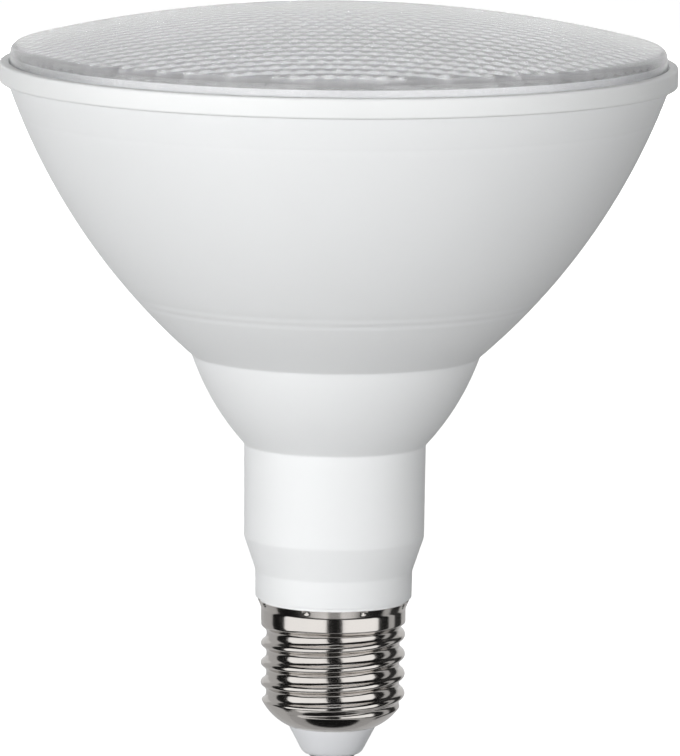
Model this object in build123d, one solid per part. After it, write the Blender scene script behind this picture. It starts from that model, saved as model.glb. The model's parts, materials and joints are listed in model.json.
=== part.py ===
from build123d import *
import os
from math import cos, pi, radians, sin, sqrt, tan

# Reflector lamp with a domed lens, a one-piece housing and a 27 mm screw cap.
# Millimetres, +Z up through the lens. The origin is the middle of the centre contact's flat face.

# Screw cap, from the contact upwards
CONTACT_HEIGHT = 0.85
CONTACT_RADIUS = 4.2
CONTACT_FACE_RADIUS = 3.4
CONTACT_SHANK_RADIUS = 1.5
CONTACT_SHANK_LENGTH = 7.2
INSULATOR_HEIGHT = 5.4
INSULATOR_TIP_RADIUS = 5.3
INSULATOR_TIP_ROUND = 1.0
INSULATOR_EDGE_INSET = 0.25
INSULATOR_PLUG_HEIGHT = 2.4
SHELL_WALL = 0.3
SHELL_MOUTH_RADIUS = 8.35
SHOULDER_HEIGHT = 5.35
SHOULDER_ARC_RADIUS = 10.0
SHOULDER_OVERREACH = 0.2
THREAD_CREST_RADIUS = 13.12
THREAD_ROOT_RADIUS = 12.08
THREAD_PITCH = 3.629
THREAD_LENGTH = 13.7
THREAD_TURNS = 5
THREAD_START_DROP = 3.15
THREAD_CREST_SHARE = 0.33
THREAD_RUN_OUT = 0.9
RIDGE_EDGE_SHARE = 0.98
RIDGE_FOOT_DEPTH = 0.35
COLLAR_STEP = 0.03
SHELL_COLLAR_HEIGHT = 2.5
FLARE_HEIGHT = 1.5
FLARE_WIDTH = 0.6
DENT_COUNT = 8
DENT_RADIUS = 1.1
DENT_DEPTH = 0.12
DENT_DROP = 0.45
DENT_FIRST_ANGLE = 24.0

# Housing, from the cap upwards
SPIGOT_LIFT = 0.3
SPIGOT_WALL = 1.775
SPIGOT_GAP = 0.075
UNDERSIDE_HEIGHT = 0.6
COLLAR_OVERHANG = 1.05
COLLAR_DRAFT = 0.08
COLLAR_HEIGHT = 4.9
FOOT_WALL = 1.9
FOOT_BORE_LIFT = 0.9
FOOT_HEIGHT = 6.2
NECK_BOTTOM_RADIUS = 16.36
NECK_DRAFT = 0.12
NECK_WALL = 1.71
NECK_HEIGHT = 17.0
BOWL_HEIGHT = 16.4
BOWL_ARC_RADIUS = 46.75
CREASE_RADIUS = 26.15
CONE_HEIGHT = 50.5
CONE_ARC_RADIUS = 117.5
RIM_RADIUS = 60.0
HOUSING_WALL = 1.8

# Lens, its seal and the ring that holds it
SEAL_HEIGHT = 0.5
SEAL_WIDTH = 1.6
SEAL_INSET = 0.15
LENS_FLANGE_HEIGHT = 1.0
LENS_SKIRT_INSET = 0.9
LENS_SKIRT_WALL = 2.0
LENS_SKIRT_HEIGHT = 3.7
LENS_DOME_HEIGHT = 7.32
LENS_WALL = 2.2
LENS_RIM_ROUND = 1.3
RING_OVERHANG = 1.05
RING_LIP_HEIGHT = 0.85
RING_HEIGHT = 3.6
RING_ROUND = 0.5
LIP_GAP = 0.05
RING_GAP = 0.12
SKIRT_GAP = 0.3

# Heat sink, reflector and LED board
SLIP_FIT = 0.15
SINK_WALL = 1.5
SINK_FLOOR_HEIGHT = 3.0
SINK_FLOOR_LIFT = 2.6
SINK_RIM_DROP = 3.9
PAD_HEIGHT = 0.3
PAD_INSET = 0.4
LED_BOARD_HEIGHT = 1.6
LED_BOARD_INSET = 1.75
WIRE_HOLE_RADIUS = 3.2
SCREW_COUNT = 3
SCREW_CIRCLE = 12.3
SCREW_FIRST_ANGLE = 30.0
SCREW_RADIUS = 1.5
SCREW_LENGTH = 4.0
SCREW_HEAD_RADIUS = 2.75
SCREW_HEAD_HEIGHT = 1.8
SCREW_SLOT_WIDTH = 0.8
SCREW_SLOT_DEPTH = 0.9
SCREW_HOLE_GAP = 0.2
SCREW_THREAD_GAP = 0.05
LED_RING_COUNTS = (6, 12)
LED_RING_RADII = (7.5, 17.8)
LED_LENGTH = 3.5
LED_WIDTH = 2.8
LED_HEIGHT = 0.8
LED_WINDOW_RADIUS = 1.1
LED_WINDOW_DEPTH = 0.12
CONNECTOR_LENGTH = 7.0
CONNECTOR_WIDTH = 5.6
CONNECTOR_HEIGHT = 4.2
REFLECTOR_THROAT_GAP = 0.95
REFLECTOR_MOUTH_INSET = 7.5
REFLECTOR_ARC_RADIUS = 105.0
REFLECTOR_WALL = 1.2
REFLECTOR_FLANGE_HEIGHT = 1.0

# Driver in the neck
SLEEVE_GAP = 0.2
SLEEVE_WALL = 1.2
SLEEVE_LID_HEIGHT = 1.5
SLEEVE_LID_OVERHANG = 1.0
GUIDE_WIDTH = 1.6
GUIDE_THICKNESS = 1.0
BOARD_THICKNESS = 1.6
BOARD_GAP = 0.12
BOARD_TOP_GAP = 1.5
TONGUE_GAP = 1.2
TONGUE_LENGTH = 13.0
WIRE_RADIUS = 0.55
WIRE_GAP = 0.05
WIRE_BEND_SHARE = 0.45
LED_WIRE_SPREAD = 1.5
LED_WIRE_LAP = 3.0
LED_WIRE_PLUG = 1.8
LEAD_LAP = 5.0
NEUTRAL_STEP = 4.0
NEUTRAL_SHELL_RUN = 5.0
NEUTRAL_BORE_INSET = 1.6

# Driver parts. Places are the distance from the axis along X and the height above the neck's step;
# those of the choke and the film capacitor give the drop of their foot below the board's top instead.
CORE_WIDTH = 14.0
CORE_DEPTH = 5.8
CORE_HEIGHT = 13.0
CORE_LIFT = 15.8
CORE_LEG = 4.4
CORE_YOKE = 2.2
CORE_SIDE_LEG = 1.8
COIL_WALL_GAP = 0.05
COIL_DEPTH = 9.8
COIL_ROUND = 1.5
BULK_CAPACITOR_RADIUS = 4.5
BULK_CAPACITOR_LENGTH = 13.0
BULK_CAPACITOR_PLACE = (4.2, 1.2)
OUTPUT_CAPACITOR_RADIUS = 3.15
OUTPUT_CAPACITOR_LENGTH = 11.0
OUTPUT_CAPACITOR_PLACE = (-5.4, 1.2)
CAPACITOR_GROOVE = 0.35
CAPACITOR_GROOVE_DROP = 1.6
CHOKE_RADIUS = 3.7
CHOKE_HEIGHT = 7.0
CHOKE_FLANGE = 1.2
CHOKE_WAIST = 2.9
CHOKE_PLACE = (6.0, 8.0)
FILM_CAPACITOR_SIZE = (10.0, 5.0, 8.0)
FILM_CAPACITOR_PLACE = (-4.4, 8.0)
BRIDGE_SIZE = (6.4, 2.6, 4.7)
BRIDGE_PLACE = (-5.6, 9.6)
CHIP_SIZE = (4.9, 1.5, 3.9)
CHIP_PLACE = (4.4, 15.0)
CHIP_LEG_COUNT = 4
CHIP_LEG_PITCH = 1.0
CHIP_LEG_WIDTH = 0.4
CHIP_LEG_REACH = 1.0
CHIP_LEG_HEIGHT = 0.25
RESISTOR_RADIUS = 1.7
RESISTOR_LENGTH = 8.0
RESISTOR_WAIST = 0.35
RESISTOR_PLACE = (5.2, -7.2)
VARISTOR_RADIUS = 3.5
VARISTOR_HEIGHT = 3.0
VARISTOR_PLACE = (-4.2, -7.2)
PART_ROUND = 0.5

# Heights of the levels that the pieces share
INSULATOR_TIP_Z = CONTACT_HEIGHT
MOUTH_Z = INSULATOR_TIP_Z + INSULATOR_HEIGHT
THREAD_Z = MOUTH_Z + SHOULDER_HEIGHT
SHELL_COLLAR_Z = THREAD_Z + THREAD_LENGTH
SPIGOT_Z = SHELL_COLLAR_Z + SPIGOT_LIFT
FLARE_Z = SHELL_COLLAR_Z + SHELL_COLLAR_HEIGHT
CAP_RIM_Z = FLARE_Z + FLARE_HEIGHT
COLLAR_Z = CAP_RIM_Z + UNDERSIDE_HEIGHT
FOOT_Z = COLLAR_Z + COLLAR_HEIGHT
NECK_Z = FOOT_Z + FOOT_HEIGHT
BOWL_Z = NECK_Z + NECK_HEIGHT
CONE_Z = BOWL_Z + BOWL_HEIGHT
RIM_Z = CONE_Z + CONE_HEIGHT
FLANGE_Z = RIM_Z + SEAL_HEIGHT
LIP_Z = FLANGE_Z + LENS_FLANGE_HEIGHT + LIP_GAP
RING_TOP_Z = LIP_Z + RING_LIP_HEIGHT
DOME_Z = FLANGE_Z + LENS_FLANGE_HEIGHT + LENS_SKIRT_HEIGHT
SINK_Z = CONE_Z + SINK_FLOOR_LIFT
PAD_Z = SINK_Z + SINK_FLOOR_HEIGHT
LED_BOARD_Z = PAD_Z + PAD_HEIGHT
LED_Z = LED_BOARD_Z + LED_BOARD_HEIGHT
SINK_RIM_Z = RIM_Z - SINK_RIM_DROP
LID_Z = SINK_Z - SLEEVE_LID_HEIGHT
BOARD_TOP_Z = LID_Z - BOARD_TOP_GAP
TONGUE_Z = NECK_Z - TONGUE_LENGTH

# Sizes that follow from the fits
SHELL_COLLAR_RADIUS = THREAD_CREST_RADIUS + COLLAR_STEP
FLARE_RADIUS = SHELL_COLLAR_RADIUS + FLARE_WIDTH
SPIGOT_RADIUS = SHELL_COLLAR_RADIUS - SHELL_WALL - SPIGOT_GAP
SPIGOT_BORE = SPIGOT_RADIUS - SPIGOT_WALL
COLLAR_BOTTOM_RADIUS = SHELL_COLLAR_RADIUS + COLLAR_OVERHANG
COLLAR_TOP_RADIUS = COLLAR_BOTTOM_RADIUS + COLLAR_DRAFT
FOOT_BORE = COLLAR_BOTTOM_RADIUS - FOOT_WALL
NECK_TOP_RADIUS = NECK_BOTTOM_RADIUS + NECK_DRAFT
NECK_BORE = NECK_BOTTOM_RADIUS - NECK_WALL
LENS_SKIRT_RADIUS = RIM_RADIUS - LENS_SKIRT_INSET
RING_RADIUS = RIM_RADIUS + RING_OVERHANG
LED_BOARD_RADIUS = CREASE_RADIUS - LED_BOARD_INSET
PAD_RADIUS = LED_BOARD_RADIUS - PAD_INSET
REFLECTOR_THROAT = LED_RING_RADII[-1] + LED_LENGTH / 2 + REFLECTOR_THROAT_GAP
REFLECTOR_MOUTH = RIM_RADIUS - REFLECTOR_MOUTH_INSET
SLEEVE_RADIUS = NECK_BORE - SLEEVE_GAP
SLEEVE_BORE = SLEEVE_RADIUS - SLEEVE_WALL
BOARD_FACE = BOARD_THICKNESS / 2
BOARD_WIDTH = 2 * (sqrt(SLEEVE_BORE ** 2 - BOARD_FACE ** 2) - BOARD_GAP)
TONGUE_WIDTH = 2 * (SPIGOT_BORE - TONGUE_GAP)
WIRE_OFFSET = BOARD_FACE + WIRE_GAP + WIRE_RADIUS


# Shared outlines

def arc_centre(low, high, radius):
    """Centre of the arc that swells outwards between two points given as (radius, height)."""
    run = high[0] - low[0]
    rise = high[1] - low[1]
    chord = sqrt(run ** 2 + rise ** 2)
    reach = sqrt(radius ** 2 - chord ** 2 / 4)
    return ((low[0] + high[0]) / 2 - rise / chord * reach, (low[1] + high[1]) / 2 + run / chord * reach)


def radius_at(centre, radius, height):
    """Distance from the axis of the arc's outer side at a height."""
    return centre[0] + sqrt(radius ** 2 - (height - centre[1]) ** 2)


def height_at(centre, radius, distance):
    """Height of the arc's lower half at a distance from the axis."""
    return centre[1] - sqrt(radius ** 2 - (distance - centre[0]) ** 2)


def swell(centre, radius, start, end):
    """The arc's stretch from one height to another."""
    heights = (start, (start + end) / 2, end)
    return ThreePointArc(*[(radius_at(centre, radius, height), height) for height in heights])


CONE_CENTRE = arc_centre((CREASE_RADIUS, CONE_Z), (RIM_RADIUS, RIM_Z), CONE_ARC_RADIUS)
BOWL_CENTRE = arc_centre((NECK_TOP_RADIUS, BOWL_Z), (CREASE_RADIUS, CONE_Z), BOWL_ARC_RADIUS)


def cone_radius(inset, height):
    """Radius of the surface that lies this far inside the cone."""
    return radius_at(CONE_CENTRE, CONE_ARC_RADIUS - inset, height)


def cone_arc(inset, start, end):
    """Outline of the surface that lies this far inside the cone."""
    return swell(CONE_CENTRE, CONE_ARC_RADIUS - inset, start, end)


def turned(*items):
    """Revolve a closed outline about Z. Its items are (radius, height) corners and arcs, in order."""
    edges = []
    for item, following in zip(items, items[1:] + items[:1]):
        start = Vector(*item) if isinstance(item, tuple) else item @ 1
        end = Vector(*following) if isinstance(following, tuple) else following @ 0
        if not isinstance(item, tuple):
            edges.append(item)
        if (end - start).length > 0.001:
            edges.append(Line(start, end))
    return revolve(Plane.XZ * make_face(edges), Axis.Z)


def rod(radius, low, high, x=0, y=0):
    """Upright cylinder between two heights."""
    return Pos(x, y, (low + high) / 2) * Cylinder(radius, high - low)


def block(low, high):
    """Box between two corners."""
    middle = [(a + b) / 2 for a, b in zip(low, high)]
    return Pos(*middle) * Box(*[b - a for a, b in zip(low, high)])


def circles(solid, radius, height):
    """The solid's circular edges of this radius at this height."""
    return [edge for edge in solid.edges().filter_by(GeomType.CIRCLE)
            if abs(edge.radius - radius) < 0.01 and abs(edge.arc_center.Z - height) < 0.01]


# Screw cap

def thread_ridge(inset):
    """Helical ridge of the rolled thread, of two root arcs and a crest arc, with a foot inside the root."""
    depth = THREAD_CREST_RADIUS - THREAD_ROOT_RADIUS
    half_pitch = THREAD_PITCH / 2
    arcs = (half_pitch ** 2 + depth ** 2) / (2 * depth)
    crest_arc = THREAD_CREST_SHARE * arcs
    root_arc = arcs - crest_arc
    crest = THREAD_CREST_RADIUS - inset
    root = THREAD_ROOT_RADIUS - inset
    foot = root - RIDGE_FOOT_DEPTH
    flank_z = THREAD_CREST_SHARE * half_pitch
    edge_z = RIDGE_EDGE_SHARE * half_pitch

    def root_curve(height):
        return root + root_arc - sqrt(root_arc ** 2 - (half_pitch - height) ** 2)

    middle_z = (flank_z + edge_z) / 2
    edge = root_curve(edge_z)
    flank = root_curve(flank_z)
    middle = root_curve(middle_z)
    outline = [
        ThreePointArc((edge, -edge_z), (middle, -middle_z), (flank, -flank_z)),
        ThreePointArc((flank, -flank_z), (crest, 0), (flank, flank_z)),
        ThreePointArc((flank, flank_z), (middle, middle_z), (edge, edge_z)),
        Polyline((edge, edge_z), (foot, edge_z), (foot, -edge_z), (edge, -edge_z)),
    ]
    path = Helix(THREAD_PITCH, THREAD_PITCH * THREAD_TURNS, root)
    ridge = sweep(Plane.XZ * make_face(outline), path=path, is_frenet=True)
    return Pos(0, 0, THREAD_Z - THREAD_START_DROP) * ridge


SHOULDER_LOW = (SHELL_MOUTH_RADIUS, MOUTH_Z)
SHOULDER_HIGH = (THREAD_CREST_RADIUS + SHOULDER_OVERREACH, THREAD_Z)
SHOULDER_CENTRE = arc_centre(SHOULDER_LOW, SHOULDER_HIGH, SHOULDER_ARC_RADIUS)


def shoulder_radius(inset, height):
    """Radius of the surface that lies this far inside the shell's shoulder."""
    return radius_at(SHOULDER_CENTRE, SHOULDER_ARC_RADIUS - inset, height)


def shell_form(inset, low, high):
    """The shell's outer form, moved inwards by an inset: shoulder, thread, collar and flared rim."""
    root = THREAD_ROOT_RADIUS + COLLAR_STEP - inset
    collar = SHELL_COLLAR_RADIUS - inset
    flare = collar + FLARE_WIDTH * (high - FLARE_Z) / FLARE_HEIGHT
    core = turned((0, low), (root, low), (root, SHELL_COLLAR_Z - THREAD_RUN_OUT),
                  (collar, SHELL_COLLAR_Z), (collar, FLARE_Z), (flare, high), (0, high))
    clear = flare + SHOULDER_OVERREACH
    shoulder = swell(SHOULDER_CENTRE, SHOULDER_ARC_RADIUS - inset, low, THREAD_Z)
    envelope = turned((0, low), shoulder, (clear, THREAD_Z), (clear, high), (0, high))
    return (core + thread_ridge(inset)) & envelope


def make_cap_shell():
    """Thin rolled shell, open at its rim and at the mouth for the insulator."""
    spare = SHELL_WALL / 2
    shell = shell_form(0, MOUTH_Z, CAP_RIM_Z) - shell_form(SHELL_WALL, MOUTH_Z - spare, CAP_RIM_Z + spare)
    dented = FLARE_RADIUS - FLARE_WIDTH * DENT_DROP / FLARE_HEIGHT
    reach = dented + DENT_RADIUS - DENT_DEPTH
    for index in range(DENT_COUNT):
        angle = radians(DENT_FIRST_ANGLE + 360 / DENT_COUNT * index)
        shell -= Pos(reach * cos(angle), reach * sin(angle), CAP_RIM_Z - DENT_DROP) * Sphere(DENT_RADIUS)
    return shell


def make_cap_insulator():
    """White end of the cap: a cone outside the shell's mouth and a plug that fills its shoulder."""
    fit = SHELL_WALL + SLIP_FIT
    throat = MOUTH_Z + SLIP_FIT
    plug_top = THREAD_Z + INSULATOR_PLUG_HEIGHT
    plug = THREAD_ROOT_RADIUS - fit
    plug_turn = height_at(SHOULDER_CENTRE, SHOULDER_ARC_RADIUS - fit, plug)
    bore = CONTACT_SHANK_RADIUS + SCREW_THREAD_GAP
    throat_radius = shoulder_radius(fit, throat)
    tip_turn = INSULATOR_TIP_Z + INSULATOR_TIP_ROUND
    face = INSULATOR_TIP_RADIUS - INSULATOR_TIP_ROUND
    bend = INSULATOR_TIP_ROUND * (1 - cos(radians(45)))
    tip = ThreePointArc((face, INSULATOR_TIP_Z), (INSULATOR_TIP_RADIUS - bend, INSULATOR_TIP_Z + bend),
                        (INSULATOR_TIP_RADIUS, tip_turn))
    inside = swell(SHOULDER_CENTRE, SHOULDER_ARC_RADIUS - fit, throat, plug_turn)
    return turned((bore, INSULATOR_TIP_Z), tip, (SHELL_MOUTH_RADIUS - INSULATOR_EDGE_INSET, MOUTH_Z),
                  (throat_radius, MOUTH_Z), inside, (plug, plug_turn), (plug, plug_top), (bore, plug_top))


def make_centre_contact():
    """Contact button with a flat face, and the shank that is pressed into the insulator."""
    edge_z = CONTACT_HEIGHT / 2
    return turned((0, 0), (CONTACT_FACE_RADIUS, 0), (CONTACT_RADIUS, edge_z), (CONTACT_RADIUS, CONTACT_HEIGHT),
                  (CONTACT_SHANK_RADIUS, CONTACT_HEIGHT), (CONTACT_SHANK_RADIUS, CONTACT_HEIGHT + CONTACT_SHANK_LENGTH),
                  (0, CONTACT_HEIGHT + CONTACT_SHANK_LENGTH))


# Housing, lens and ring

def make_housing():
    """One moulding: spigot for the cap, collar, tapered foot, neck, bowl and cone up to the rim."""
    outside = turned(
        (0, SPIGOT_Z), (SPIGOT_RADIUS, SPIGOT_Z), (SPIGOT_RADIUS, FLARE_Z), (SPIGOT_RADIUS + FLARE_WIDTH, CAP_RIM_Z),
        (FLARE_RADIUS, CAP_RIM_Z), (COLLAR_BOTTOM_RADIUS, COLLAR_Z), (COLLAR_TOP_RADIUS, FOOT_Z),
        (NECK_BOTTOM_RADIUS, NECK_Z),
        swell(BOWL_CENTRE, BOWL_ARC_RADIUS, BOWL_Z, CONE_Z), cone_arc(0, CONE_Z, RIM_Z), (0, RIM_Z))
    bowl_inside = swell(BOWL_CENTRE, BOWL_ARC_RADIUS - HOUSING_WALL, BOWL_Z, CONE_Z)
    cone_inside = cone_arc(HOUSING_WALL, CONE_Z, RIM_Z)
    housing = outside - turned((0, BOWL_Z), bowl_inside, (0, CONE_Z)) - turned((0, CONE_Z), cone_inside, (0, RIM_Z))
    housing -= rod(NECK_BORE, NECK_Z, BOWL_Z + HOUSING_WALL)
    housing -= rod(FOOT_BORE, COLLAR_Z + FOOT_BORE_LIFT, NECK_Z)
    housing -= rod(SPIGOT_BORE, SPIGOT_Z, NECK_Z)
    return housing


def make_lens():
    """Clear cover: dome of even wall, skirt, and the flange that the ring holds."""
    sphere = (LENS_SKIRT_RADIUS ** 2 + LENS_DOME_HEIGHT ** 2) / (2 * LENS_DOME_HEIGHT)
    centre_z = DOME_Z + LENS_DOME_HEIGHT - sphere
    skirt_inside = LENS_SKIRT_RADIUS - LENS_SKIRT_WALL
    flange_top = FLANGE_Z + LENS_FLANGE_HEIGHT

    def dome(radius, start, end):
        spots = (start, (start + end) / 2, end)
        return ThreePointArc(*[(spot, centre_z + sqrt(radius ** 2 - spot ** 2)) for spot in spots])

    lens = turned((RIM_RADIUS, FLANGE_Z), (RIM_RADIUS, flange_top), (LENS_SKIRT_RADIUS, flange_top),
                  dome(sphere, LENS_SKIRT_RADIUS, 0), dome(sphere - LENS_WALL, 0, skirt_inside),
                  (skirt_inside, FLANGE_Z))
    return fillet(circles(lens, LENS_SKIRT_RADIUS, DOME_Z), LENS_RIM_ROUND)


def make_lens_seal():
    """Flat seal between the lens flange and the housing's rim."""
    outer = RIM_RADIUS - SEAL_INSET
    return turned((outer - SEAL_WIDTH, RIM_Z), (outer, RIM_Z), (outer, FLANGE_Z), (outer - SEAL_WIDTH, FLANGE_Z))


def make_front_ring():
    """Ring round the rim, with a lip over the lens flange."""
    bottom = RING_TOP_Z - RING_HEIGHT
    inside = RIM_RADIUS + RING_GAP
    lip = LENS_SKIRT_RADIUS + SKIRT_GAP
    ring = turned((inside, bottom), (RING_RADIUS, bottom), (RING_RADIUS, RING_TOP_Z), (lip, RING_TOP_Z),
                  (lip, LIP_Z), (inside, LIP_Z))
    rounded = circles(ring, RING_RADIUS, bottom) + circles(ring, RING_RADIUS, RING_TOP_Z)
    return fillet(rounded, RING_ROUND)


# Heat sink, LED board and reflector

def screw_places():
    """Middles of the board screws, between the inner LED packages."""
    return [(SCREW_CIRCLE * cos(angle), SCREW_CIRCLE * sin(angle))
            for angle in [radians(SCREW_FIRST_ANGLE + 360 / SCREW_COUNT * index) for index in range(SCREW_COUNT)]]


def screw_holes(radius, low, high):
    """Cylinders that cut the board screws' holes."""
    return [rod(radius, low, high, x, y) for x, y in screw_places()]


def make_heat_sink():
    """Pressed cup that follows the cone, with a thick floor for the LED board."""
    outer_inset = HOUSING_WALL + SLIP_FIT
    inner_inset = outer_inset + SINK_WALL
    sink = turned((0, SINK_Z), cone_arc(outer_inset, SINK_Z, SINK_RIM_Z), cone_arc(inner_inset, SINK_RIM_Z, PAD_Z),
                  (0, PAD_Z))
    sink -= rod(WIRE_HOLE_RADIUS, SINK_Z, PAD_Z)
    screw_end = LED_Z - SCREW_LENGTH
    return sink - screw_holes(SCREW_RADIUS + SCREW_THREAD_GAP, screw_end, PAD_Z)


def make_disc(radius, low, high):
    """Round plate with the wire hole and the screw holes."""
    disc = rod(radius, low, high) - rod(WIRE_HOLE_RADIUS, low, high)
    return disc - screw_holes(SCREW_RADIUS + SCREW_HOLE_GAP, low, high)


def make_led_packages():
    """LED packages in rings round the middle of the board, each with a round window."""
    package = block((-LED_LENGTH / 2, -LED_WIDTH / 2, LED_Z), (LED_LENGTH / 2, LED_WIDTH / 2, LED_Z + LED_HEIGHT))
    package -= rod(LED_WINDOW_RADIUS, LED_Z + LED_HEIGHT - LED_WINDOW_DEPTH, LED_Z + LED_HEIGHT)
    packages = []
    for count, circle in zip(LED_RING_COUNTS, LED_RING_RADII):
        for index in range(count):
            packages.append(Rot(0, 0, 360 / count * index) * Pos(circle, 0, 0) * package)
    return Compound(children=packages)


def make_led_connector():
    """Block over the wire hole, with a socket from below for each wire."""
    block_low = (-CONNECTOR_LENGTH / 2, -CONNECTOR_WIDTH / 2, LED_Z)
    connector = block(block_low, (CONNECTOR_LENGTH / 2, CONNECTOR_WIDTH / 2, LED_Z + CONNECTOR_HEIGHT))
    for side in (-1, 1):
        connector -= rod(WIRE_RADIUS + WIRE_GAP, LED_Z, LED_Z + LED_WIRE_PLUG + WIRE_GAP,
                         side * LED_WIRE_SPREAD, WIRE_OFFSET)
    return connector


def make_board_screws():
    """Slotted pan-head screws that hold the LED board to the floor of the heat sink."""
    screws = []
    for x, y in screw_places():
        screw = rod(SCREW_RADIUS, LED_Z - SCREW_LENGTH, LED_Z, x, y)
        screw += rod(SCREW_HEAD_RADIUS, LED_Z, LED_Z + SCREW_HEAD_HEIGHT, x, y)
        slot_z = LED_Z + SCREW_HEAD_HEIGHT - SCREW_SLOT_DEPTH
        screw -= block((x - SCREW_HEAD_RADIUS, y - SCREW_SLOT_WIDTH / 2, slot_z),
                       (x + SCREW_HEAD_RADIUS, y + SCREW_SLOT_WIDTH / 2, LED_Z + SCREW_HEAD_HEIGHT))
        screws.append(screw)
    return Compound(children=screws)


def make_reflector():
    """Thin bowl from the LED board to the rim of the heat sink, where its flange rests."""
    flange_z = SINK_RIM_Z + REFLECTOR_FLANGE_HEIGHT
    centre = arc_centre((REFLECTOR_THROAT, LED_Z), (REFLECTOR_MOUTH, flange_z), REFLECTOR_ARC_RADIUS)
    outer_arc = REFLECTOR_ARC_RADIUS + REFLECTOR_WALL
    flange = cone_radius(HOUSING_WALL + 2 * SLIP_FIT, SINK_RIM_Z)
    return turned(swell(centre, REFLECTOR_ARC_RADIUS, LED_Z, flange_z), (flange, flange_z), (flange, SINK_RIM_Z),
                  swell(centre, outer_arc, SINK_RIM_Z, LED_Z))


# Driver

def make_driver_sleeve():
    """Insulating tube in the neck, with ribs that guide the driver board's long edges."""
    sleeve = rod(SLEEVE_RADIUS, NECK_Z, LID_Z) - rod(SLEEVE_BORE, NECK_Z, LID_Z)
    guide_face = BOARD_FACE + BOARD_GAP
    for x in (-1, 1):
        for y in (-1, 1):
            near = (x * (SLEEVE_BORE - GUIDE_WIDTH), y * guide_face, NECK_Z)
            far = (x * (SLEEVE_BORE + SLEEVE_WALL / 2), y * (guide_face + GUIDE_THICKNESS), BOARD_TOP_Z)
            low = [min(a, b) for a, b in zip(near, far)]
            high = [max(a, b) for a, b in zip(near, far)]
            sleeve += block(low, high)
    return sleeve


def make_sleeve_lid():
    """Lid between the sleeve and the floor of the heat sink, with the wire hole."""
    lid = rod(SLEEVE_RADIUS + SLEEVE_LID_OVERHANG, LID_Z, SINK_Z)
    return lid - rod(WIRE_HOLE_RADIUS, LID_Z, SINK_Z)


def make_driver_board():
    """Upright board that stands on the step of the neck, with a tongue down into the cap."""
    board = block((-BOARD_WIDTH / 2, -BOARD_FACE, NECK_Z), (BOARD_WIDTH / 2, BOARD_FACE, BOARD_TOP_Z))
    return board + block((-TONGUE_WIDTH / 2, -BOARD_FACE, TONGUE_Z), (TONGUE_WIDTH / 2, BOARD_FACE, NECK_Z))


def make_transformer_core():
    """Ferrite core with a middle leg, two side legs and a yoke above and below."""
    middle_y = BOARD_FACE + COIL_DEPTH / 2
    low_z = NECK_Z + CORE_LIFT
    core = block((-CORE_WIDTH / 2, middle_y - CORE_DEPTH / 2, low_z),
                 (CORE_WIDTH / 2, middle_y + CORE_DEPTH / 2, low_z + CORE_HEIGHT))
    for side in (-1, 1):
        edges = sorted((side * CORE_LEG / 2, side * (CORE_WIDTH / 2 - CORE_SIDE_LEG)))
        core -= block((edges[0], middle_y - CORE_DEPTH, low_z + CORE_YOKE),
                      (edges[1], middle_y + CORE_DEPTH, low_z + CORE_HEIGHT - CORE_YOKE))
    return core


def make_transformer_coil():
    """Winding round the middle leg, which rests on the board."""
    middle_y = BOARD_FACE + COIL_DEPTH / 2
    low_z = NECK_Z + CORE_LIFT + CORE_YOKE + COIL_WALL_GAP
    high_z = NECK_Z + CORE_LIFT + CORE_HEIGHT - CORE_YOKE - COIL_WALL_GAP
    half_width = CORE_WIDTH / 2 - CORE_SIDE_LEG - COIL_WALL_GAP
    coil = block((-half_width, middle_y - COIL_DEPTH / 2, low_z), (half_width, middle_y + COIL_DEPTH / 2, high_z))
    coil = fillet(coil.edges().filter_by(Axis.Z), COIL_ROUND)
    leg_x = CORE_LEG / 2 + COIL_WALL_GAP
    leg_y = CORE_DEPTH / 2 + COIL_WALL_GAP
    return coil - block((-leg_x, middle_y - leg_y, low_z), (leg_x, middle_y + leg_y, high_z))


def make_can(radius, length, place):
    """Capacitor can on the board's +Y face, with the groove that crimps it on its seal."""
    x, lift = place
    low_z = NECK_Z + lift
    groove_z = low_z + CAPACITOR_GROOVE_DROP
    waist = radius - CAPACITOR_GROOVE
    groove = ThreePointArc((radius, groove_z - CAPACITOR_GROOVE), (waist, groove_z),
                           (radius, groove_z + CAPACITOR_GROOVE))
    can = turned((0, low_z), (radius, low_z), groove, (radius, low_z + length), (0, low_z + length))
    can = fillet(circles(can, radius, low_z + length), PART_ROUND)
    return Pos(x, BOARD_FACE + radius, 0) * can


def face_block(size, x, low_z):
    """Rounded box on the board's -Y face, from this height up."""
    width, depth, height = size
    box = block((x - width / 2, -BOARD_FACE - depth, low_z), (x + width / 2, -BOARD_FACE, low_z + height))
    return fillet(box.faces().sort_by(Axis.Y)[0].edges(), PART_ROUND / 2)


def make_film_capacitor():
    """Boxed film capacitor at the top of the board."""
    x, drop = FILM_CAPACITOR_PLACE
    return face_block(FILM_CAPACITOR_SIZE, x, BOARD_TOP_Z - drop)


def make_bridge_rectifier():
    """Rectifier block low on the board."""
    x, lift = BRIDGE_PLACE
    return face_block(BRIDGE_SIZE, x, NECK_Z + lift)


def make_drum_choke():
    """Drum core with its winding, on the board's -Y face."""
    x, drop = CHOKE_PLACE
    drum = turned((0, 0), (CHOKE_RADIUS, 0), (CHOKE_RADIUS, CHOKE_FLANGE), (CHOKE_WAIST, CHOKE_FLANGE),
                  (CHOKE_WAIST, CHOKE_HEIGHT - CHOKE_FLANGE), (CHOKE_RADIUS, CHOKE_HEIGHT - CHOKE_FLANGE),
                  (CHOKE_RADIUS, CHOKE_HEIGHT), (0, CHOKE_HEIGHT))
    return Pos(x, -BOARD_FACE, BOARD_TOP_Z - drop + CHOKE_RADIUS) * Rot(90, 0, 0) * drum


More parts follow.
